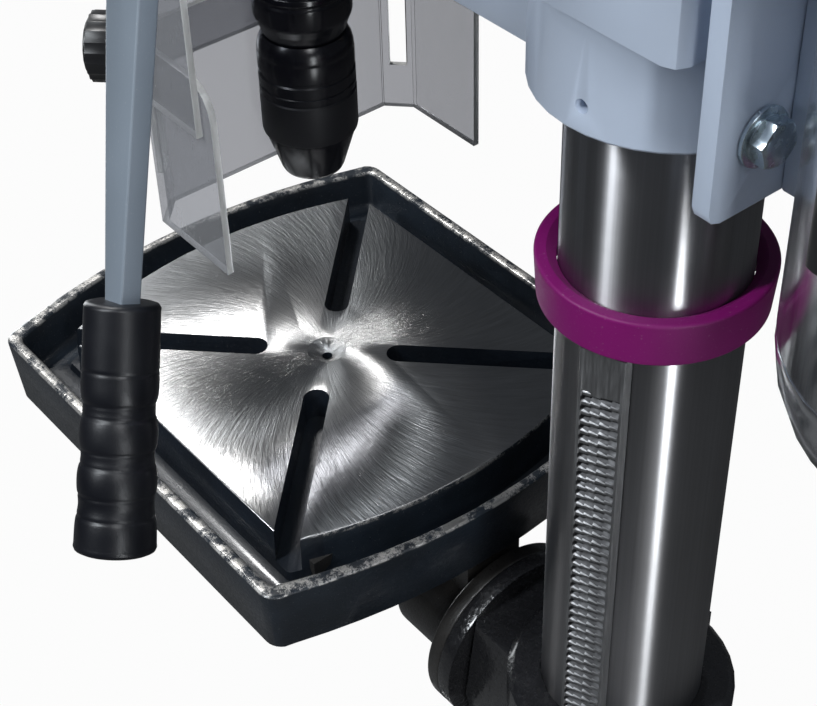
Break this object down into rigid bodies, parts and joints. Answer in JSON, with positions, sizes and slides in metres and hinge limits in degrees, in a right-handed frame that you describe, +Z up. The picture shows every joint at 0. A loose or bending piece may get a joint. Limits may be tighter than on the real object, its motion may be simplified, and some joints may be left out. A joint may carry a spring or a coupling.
{
  "type": "bench drill press",
  "caption": "Bench drill press with column, rack-raised tilting coolant table, quill head with clear chuck guard, feed levers, belt cover and rear-mounted motor.",
  "frame": {"origin": "underside of the base, directly below the column axis", "axes": "+Z up along the column, -Y towards the operator and the spindle, +X to the operator's right where the feed levers are"},
  "size_m": [0.3194, 0.6165, 1.036],
  "materials": {
    "cast_paint": "semi-gloss charcoal paint over sand casting, ground platform",
    "black_cast": "gloss black enamel over sand casting",
    "head_paint": "light blue-grey semi-gloss paint",
    "ring": "magenta satin coating",
    "polished_steel": "ground and lightly polished",
    "steel": "machined",
    "zinc": "bright zinc plate",
    "aluminium": "turned",
    "lever_metal": "satin",
    "motor_metal": "bright satin",
    "blued_steel": "blackened steel, semi-gloss",
    "brass": "turned",
    "black_plastic": "moulded, satin",
    "grip": "ribbed, fine grain",
    "belt": "matte",
    "green_plastic": "moulded",
    "red_plastic": "moulded",
    "clear": "clear polycarbonate with bright edges"
  },
  "bodies": {
    "stand": {"base": "cast_paint", "column_flange": "cast_paint", "flange_bolt_1": "zinc", "flange_bolt_2": "zinc", "flange_bolt_3": "zinc", "column": "polished_steel", "rack_ring": "ring", "head": "head_paint", "head_lock_screw": "blued_steel", "cover_base": "head_paint", "idler_post": "steel", "front_belt": "belt", "rear_belt": "belt", "switch_box": "black_plastic", "spring_cap": "black_cast", "guard_bracket": "black_cast", "guard_pin": "brass"},
    "rack_body": {"rack": "steel"},
    "carrier": {"table_bracket": "black_cast", "tilt_bolt": "zinc"},
    "gear": {"lift_gear": "steel"},
    "crank": {"lift_crank": "steel"},
    "crank_handle": {"crank_grip": "black_plastic"},
    "bracket_lock": {"bracket_lock_lever": "steel"},
    "table_casting": {"table": "cast_paint"},
    "lid": {"cover_lid": "black_plastic", "lid_knob": "black_plastic"},
    "spindle_drive": {"spindle_pulley": "aluminium"},
    "idler": {"idler_pulley": "aluminium"},
    "motor": {"motor_plate": "head_paint", "slide_rod_left": "zinc", "slide_rod_right": "zinc", "plate_bolt_left": "zinc", "plate_bolt_right": "zinc", "motor_bracket": "head_paint", "motor_body": "motor_metal", "fan_cover": "motor_metal", "terminal_box": "black_plastic"},
    "rotor": {"motor_shaft": "steel", "motor_pulley": "aluminium"},
    "tension_lock": {"tension_knob": "black_plastic"},
    "start": {"start_button": "green_plastic"},
    "stop": {"stop_button": "red_plastic"},
    "quill_body": {"quill": "polished_steel"},
    "spindle_body": {"spindle": "steel", "chuck_body": "blued_steel"},
    "sleeve": {"chuck_sleeve": "blued_steel"},
    "jaw_a": {"chuck_jaw_1": "steel"},
    "jaw_b": {"chuck_jaw_2": "steel"},
    "jaw_c": {"chuck_jaw_3": "steel"},
    "feed": {"feed_hub": "black_cast", "feed_lever_1": "lever_metal", "feed_grip_1": "grip", "feed_lever_2": "lever_metal", "feed_grip_2": "grip", "feed_lever_3": "lever_metal", "feed_grip_3": "grip"},
    "upper_guard": {"upper_shield": "clear"},
    "shield_lock": {"guard_knob": "black_plastic"},
    "lower_guard": {"lower_shield": "clear"}
  },
  "joints": [
    {"name": "table_swing", "type": "hinge", "parent": "stand", "child": "rack_body", "pos_m": [0, 0, 0.42], "axis": [0, 0, 1], "range_deg": [-180, 180]},
    {"name": "table_lift", "type": "slide", "parent": "rack_body", "child": "carrier", "axis": [0, 0, 1], "range_m": [-0.26, 0.09]},
    {"name": "lift_gear_turn", "type": "hinge", "parent": "carrier", "child": "gear", "pos_m": [0.04698, 0.0171, 0.408], "axis": [0.342, -0.9397, 0], "range_deg": [-1419, 492]},
    {"name": "crank_turn", "type": "hinge", "parent": "carrier", "child": "crank", "pos_m": [0.07518, 0.02736, 0.4265], "axis": [0.9397, 0.342, 0], "range_deg": [-19863, 6876]},
    {"name": "crank_grip_spin", "type": "hinge", "parent": "crank", "child": "crank_handle", "pos_m": [0.10018, 0.11947, 0.4265], "axis": [0.9397, 0.342, 0], "continuous": true},
    {"name": "bracket_lock_turn", "type": "hinge", "parent": "carrier", "child": "bracket_lock", "pos_m": [-0.05547, -0.01696, 0.426], "axis": [-0.2924, 0.9563, 0], "range_deg": [0, 80]},
    {"name": "table_tilt", "type": "hinge", "parent": "carrier", "child": "table_casting", "pos_m": [0, -0.073, 0.433], "axis": [0, 1, 0], "range_deg": [-45, 45]},
    {"name": "lid_open", "type": "hinge", "parent": "stand", "child": "lid", "pos_m": [-0.0925, -0.045, 1.0045], "axis": [0, -1, 0], "range_deg": [0, 95]},
    {"name": "quill_feed", "type": "slide", "parent": "stand", "child": "quill_body", "axis": [0, 0, -1], "range_m": [0, 0.08], "stiffness_N_per_m": 400, "springref_m": -0.14},
    {"name": "feed_turn", "type": "hinge", "parent": "stand", "child": "feed", "pos_m": [0.096, -0.166, 0.8165], "axis": [1, 0, 0], "range_deg": [0, 192]},
    {"name": "motor_slide", "type": "slide", "parent": "stand", "child": "motor", "axis": [0, 1, 0], "range_m": [-0.006, 0.014], "deforming": ["rear_belt"]},
    {"name": "motor_spin", "type": "hinge", "parent": "motor", "child": "rotor", "pos_m": [0, 0.137, 0.92], "axis": [0, 0, 1], "continuous": true},
    {"name": "idler_spin", "type": "hinge", "parent": "stand", "child": "idler", "pos_m": [0, -0.04, 0.96], "axis": [0, 0, 1], "continuous": true},
    {"name": "spindle_pulley_spin", "type": "hinge", "parent": "stand", "child": "spindle_drive", "pos_m": [0, -0.211, 0.96], "axis": [0, 0, 1], "continuous": true},
    {"name": "spindle_spin", "type": "hinge", "parent": "quill_body", "child": "spindle_body", "pos_m": [0, -0.211, 0.76], "axis": [0, 0, 1], "continuous": true},
    {"name": "chuck_sleeve_turn", "type": "hinge", "parent": "spindle_body", "child": "sleeve", "pos_m": [0, -0.211, 0.66], "axis": [0, 0, 1], "range_deg": [0, 720]},
    {"name": "jaw_a_slide", "type": "slide", "parent": "spindle_body", "child": "jaw_a", "axis": [0.2962, 0.171, 0.9397], "range_m": [0, 0.0161]},
    {"name": "jaw_b_slide", "type": "slide", "parent": "spindle_body", "child": "jaw_b", "axis": [-0.2962, 0.171, 0.9397], "range_m": [0, 0.0161]},
    {"name": "jaw_c_slide", "type": "slide", "parent": "spindle_body", "child": "jaw_c", "axis": [0, -0.342, 0.9397], "range_m": [0, 0.0161]},
    {"name": "tension_lock_turn", "type": "hinge", "parent": "stand", "child": "tension_lock", "pos_m": [0.02, 0.055, 0.9055], "axis": [0, 1, 0], "range_deg": [0, 360]},
    {"name": "start_press", "type": "slide", "parent": "stand", "child": "start", "axis": [1, 0, 0], "range_m": [0, 0.003], "stiffness_N_per_m": 600, "springref_m": -0.002},
    {"name": "stop_press", "type": "slide", "parent": "stand", "child": "stop", "axis": [1, 0, 0], "range_m": [0, 0.003], "stiffness_N_per_m": 600, "springref_m": -0.002},
    {"name": "guard_swing", "type": "hinge", "parent": "stand", "child": "upper_guard", "pos_m": [-0.0725, -0.169, 0.74], "axis": [0, 0, 1], "range_deg": [-110, 0]},
    {"name": "shield_slide", "type": "slide", "parent": "upper_guard", "child": "lower_guard", "axis": [0, 0, 1], "range_m": [0, 0.045]},
    {"name": "shield_lock_turn", "type": "hinge", "parent": "upper_guard", "child": "shield_lock", "pos_m": [0.06675, -0.232, 0.708], "axis": [0.7071, -0.7071, 0], "range_deg": [0, 360]}
  ],
  "couplings": [
    {"joint": "lift_gear_turn", "follows": "table_lift", "rad_per_m": 95.238},
    {"joint": "crank_turn", "follows": "table_lift", "rad_per_m": 1333.3},
    {"joint": "feed_turn", "follows": "quill_feed", "rad_per_m": 41.667},
    {"joint": "idler_spin", "follows": "motor_spin", "ratio": 1.1795},
    {"joint": "spindle_pulley_spin", "follows": "motor_spin", "ratio": 1.5301},
    {"joint": "spindle_spin", "follows": "motor_spin", "ratio": 1.5301},
    {"joint": "jaw_a_slide", "follows": "chuck_sleeve_turn", "m_per_rad": 0.0012732},
    {"joint": "jaw_b_slide", "follows": "chuck_sleeve_turn", "m_per_rad": 0.0012732},
    {"joint": "jaw_c_slide", "follows": "chuck_sleeve_turn", "m_per_rad": 0.0012732}
  ]
}
